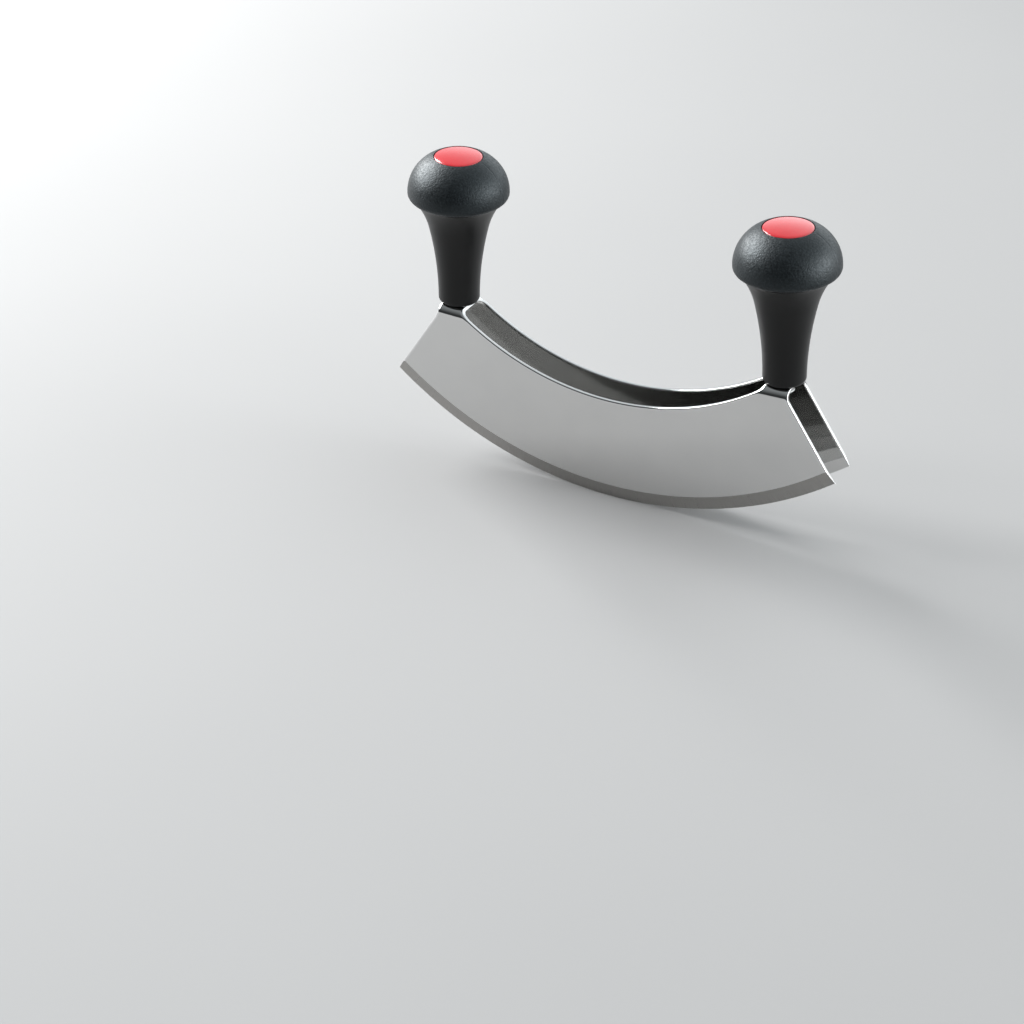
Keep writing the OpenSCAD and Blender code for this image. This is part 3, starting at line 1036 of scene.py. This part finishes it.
def fastener_steel():
    """Stainless screws and washers with fine turning rings."""
    look = Finish("fastener_steel", Metallic=1.0)
    x, y, z = look.axes()
    rings = look.noise(1.0, 3.0, look.point(x * 80, y * 80, z * 4200))
    stain = look.noise(320.0, 3.0)
    look.colour(look.blend(stain, (0.50, 0.50, 0.505), (0.66, 0.66, 0.655)))
    look.roughness(look.between(rings * 0.5 + stain * 0.5, 0.2, 0.36, 0.3, 0.7))
    look.bump(rings * 0.6 + stain * 0.4, 0.012 * MM)
    return look.material


def pale_floor():
    """Matt pale grey."""
    look = Finish("pale_floor", Specular_IOR_Level=0.04)
    cloud = look.noise(3.0, 2.0)
    grain = look.noise(700.0, 2.0)
    look.colour(look.blend(cloud, (0.295, 0.295, 0.295), (0.315, 0.315, 0.315)))
    look.roughness(look.between(grain, 0.65, 0.75))
    look.bump(grain, 0.01 * MM)
    return look.material


# Pieces


def declare(piece, node):
    """Sets what a piece rides on and hides the node that it stands for."""
    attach(piece, "root")
    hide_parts(node)


def make_blades():
    """The folded sheet; its materials are in the order of the face indices."""
    piece = blade_sheet("folded_blades")
    for finish in (mirror_steel(), ground_steel_and_painted_shade(), rounded_steel(), raw_steel()):
        piece.data.materials.append(finish)
    declare(piece, "blade_body")


def turned_piece(name, side, tree, points, feature, material, **values):
    """A turned piece of one handle, placed on its axis."""
    base = outline_mesh(name + "_outline", points, feature)
    piece = bake(name, base, tree, {"Material": material, **values})
    piece.data.transform(handle_frame(side))
    return piece


def seam_mark(r, z):
    """The parting line runs up the knob's outside only, from the crease to the cap."""
    above_crease, beside_cap = 0.3 * MM, 0.8 * MM
    if z < KNOB_H:
        return z > STEM_TOP + above_crease and r > KNOB_R - ROLL_R
    on_crown = math.hypot(r - CROWN_X, z - KNOB_H) > CROWN_R - HAIR
    return on_crown and r > POCKET_R + beside_cap


def thread_mark(r, z):
    """1 on the thread, -1 in the head's socket and 0 elsewhere."""
    socket = abs(r - SOCKET_W / 2) < HAIR and z < LOCK_Z
    thread = abs(r - SCREW_R) < HAIR and z > LOCK_Z + LEAD_IN + HAIR
    return -1 if socket else float(thread)


def knurl_mark(r, z):
    """The ribs are on the insert's widest rows."""
    return r > INSERT_R - HAIR


def no_mark(r, z):
    """For pieces without a feature."""
    return 0.0


def make_handles():
    """Both handles with their fasteners, each piece for one node of the CAD."""
    moulding = turned_tree("Moulded piece", moulded)
    screw_tree = turned_tree("Threaded piece", threaded)
    insert_tree = turned_tree("Knurled piece", knurled)
    ring = split_ring_tree()
    steel = fastener_steel()
    seam = {"Feature width": SEAM_W, "Feature depth": SEAM_D}
    knurl = {"Feature count": KNURL_RIBS, "Feature depth": KNURL_D}
    thread = {"Feature depth": THREAD_D, "Feature pitch": PITCH}
    turned = [
        ("stem", "handle_stem", "stem_plastic", moulding, stem_outline(), no_mark,
         stem_plastic(), {"Columns": 192, "Crowding": 0.65, **seam}),
        ("knob", "knob_shell", "knob_soft_touch", moulding, knob_outline(), seam_mark,
         knob_soft_touch(), {"Columns": 224, "Crowding": 0.7, **seam}),
        ("cap", "red_cap", "cap_plastic", moulding, cap_outline(), no_mark,
         cap_plastic(), {"Columns": 128, "Crowding": 0.0, **seam}),
        ("insert", "threaded_insert", "insert_brass", insert_tree, insert_outline(), knurl_mark,
         turned_brass(), {"Columns": 160, "Crowding": 0.0, **knurl}),
        ("screw", "handle_screw", "fastener_steel", screw_tree, screw_outline(), thread_mark,
         steel, {"Columns": 72, "Crowding": 0.0, **thread}),
        ("washer", "flat_washer", "fastener_steel", moulding, washer_outline(), no_mark,
         steel, {"Columns": 96, "Crowding": 0.0, **seam}),
    ]
    for side in SIDES:
        for name, node, slot, tree, outline, mark, finish, values in turned:
            piece = turned_piece(f"{side}_{name}", side, tree, outline, mark, finish, **values)
            declare(piece, f"{side}_{node}")
        base = bpy.data.meshes.new("ring_base")
        piece = bake(f"{side}_split_washer", base, ring, {
            "Radius": (LOCK_R + WASHER_BORE) / 2, "Width": LOCK_R - WASHER_BORE,
            "Height": LOCK_T, "Split": SPLIT_W, "Slant": SPLIT_SLANT,
            "Middle": LOCK_Z + LOCK_T / 2, "Material": steel,
        })
        piece.data.transform(handle_frame(side))
        declare(piece, f"{side}_lock_washer")


# Stage, light and camera


def view_axes():
    """Right, up and back of the camera, before its roll."""
    az, el = CAMERA_AZIMUTH, CAMERA_ELEVATION
    back = Vector((math.sin(az) * math.cos(el), -math.cos(az) * math.cos(el), math.sin(el)))
    right = Vector((math.cos(az), math.sin(az), 0))
    return right, right.cross(-back), back


def make_floor():
    """A plain square that reaches far past every view."""
    reach = 12.0
    mesh = bpy.data.meshes.new("floor")
    corners = [(-reach, -reach, 0), (reach, -reach, 0), (reach, reach, 0), (-reach, reach, 0)]
    mesh.from_pydata(corners, [], [(0, 1, 2, 3)])
    mesh.materials.append(pale_floor())
    floor = in_scene("floor", mesh)


def soft_box(name, azimuth, elevation, distance, width, height, power):
    """A rectangular light that looks at the middle of the tool; azimuth 0 is in front of it."""
    az, el = math.radians(azimuth), math.radians(elevation)
    away = Vector((math.sin(az) * math.cos(el), -math.cos(az) * math.cos(el), math.sin(el)))
    light = bpy.data.lights.new(name, "AREA")
    light.shape = "RECTANGLE"
    light.size = width
    light.size_y = height
    light.energy = power
    lamp = in_scene(name, light)
    lamp.location = TOOL_MIDDLE + away * distance
    lamp.rotation_euler = away.to_track_quat("Z", "Y").to_euler()


def make_light():
    """A big soft box on the left, a strip and pale walls to the right, dark in front."""
    soft_box("key", azimuth=-94, elevation=31, distance=1.8, width=1.7, height=1.15, power=104)
    soft_box("strip", azimuth=104, elevation=12, distance=1.3, width=1.2, height=0.5, power=13)
    world = bpy.data.worlds.new("studio")
    bpy.context.scene.world = world
    world.use_nodes = True
    tree = world.node_tree
    place = tree.nodes.new("ShaderNodeTexCoord")
    parts = tree.nodes.new("ShaderNodeSeparateXYZ")
    tree.links.new(place.outputs["Generated"], parts.inputs[0])
    x, y, z = (Wire(tree, parts.outputs[axis]) for axis in "XYZ")
    wall = math.radians(WALL_AZIMUTH)
    toward_wall = x * math.sin(wall) - y * math.cos(wall)
    walls = mapped(tree, toward_wall, WALL_EDGES, (FRONT_WALL, BACK_WALL), "SMOOTHSTEP")
    up = mapped(tree, z, CEILING_EDGES, (0.0, 1.0), "LINEAR")
    level = walls * (up * (CEILING - 1) + 1) + up * SKY_LIGHT
    sky = tree.nodes["Background"]
    sky.inputs["Color"].default_value = SKY_COLOUR
    tree.links.new(level.socket, sky.inputs["Strength"])


def make_camera():
    """The photograph's camera, from the sizes above."""
    right, up, back = view_axes()
    cos_roll, sin_roll = math.cos(CAMERA_ROLL), math.sin(CAMERA_ROLL)
    across = right * cos_roll + up * sin_roll
    upward = up * cos_roll - right * sin_roll
    turn = Matrix((across, upward, back)).transposed().to_4x4()
    data = bpy.data.cameras.new("camera")
    data.lens = CAMERA_LENS
    data.sensor_width = 36
    data.clip_start = 0.05
    camera = in_scene("camera", data)
    camera.matrix_world = Matrix.Translation(CAMERA_TARGET + back * CAMERA_DISTANCE) @ turn
    bpy.context.scene.camera = camera


bpy.context.scene.view_settings.view_transform = "Standard"
bpy.context.scene.cycles.glossy_bounces = 8
bpy.context.scene.cycles.max_bounces = 16
make_camera()
make_floor()
make_light()
make_blades()
make_handles()
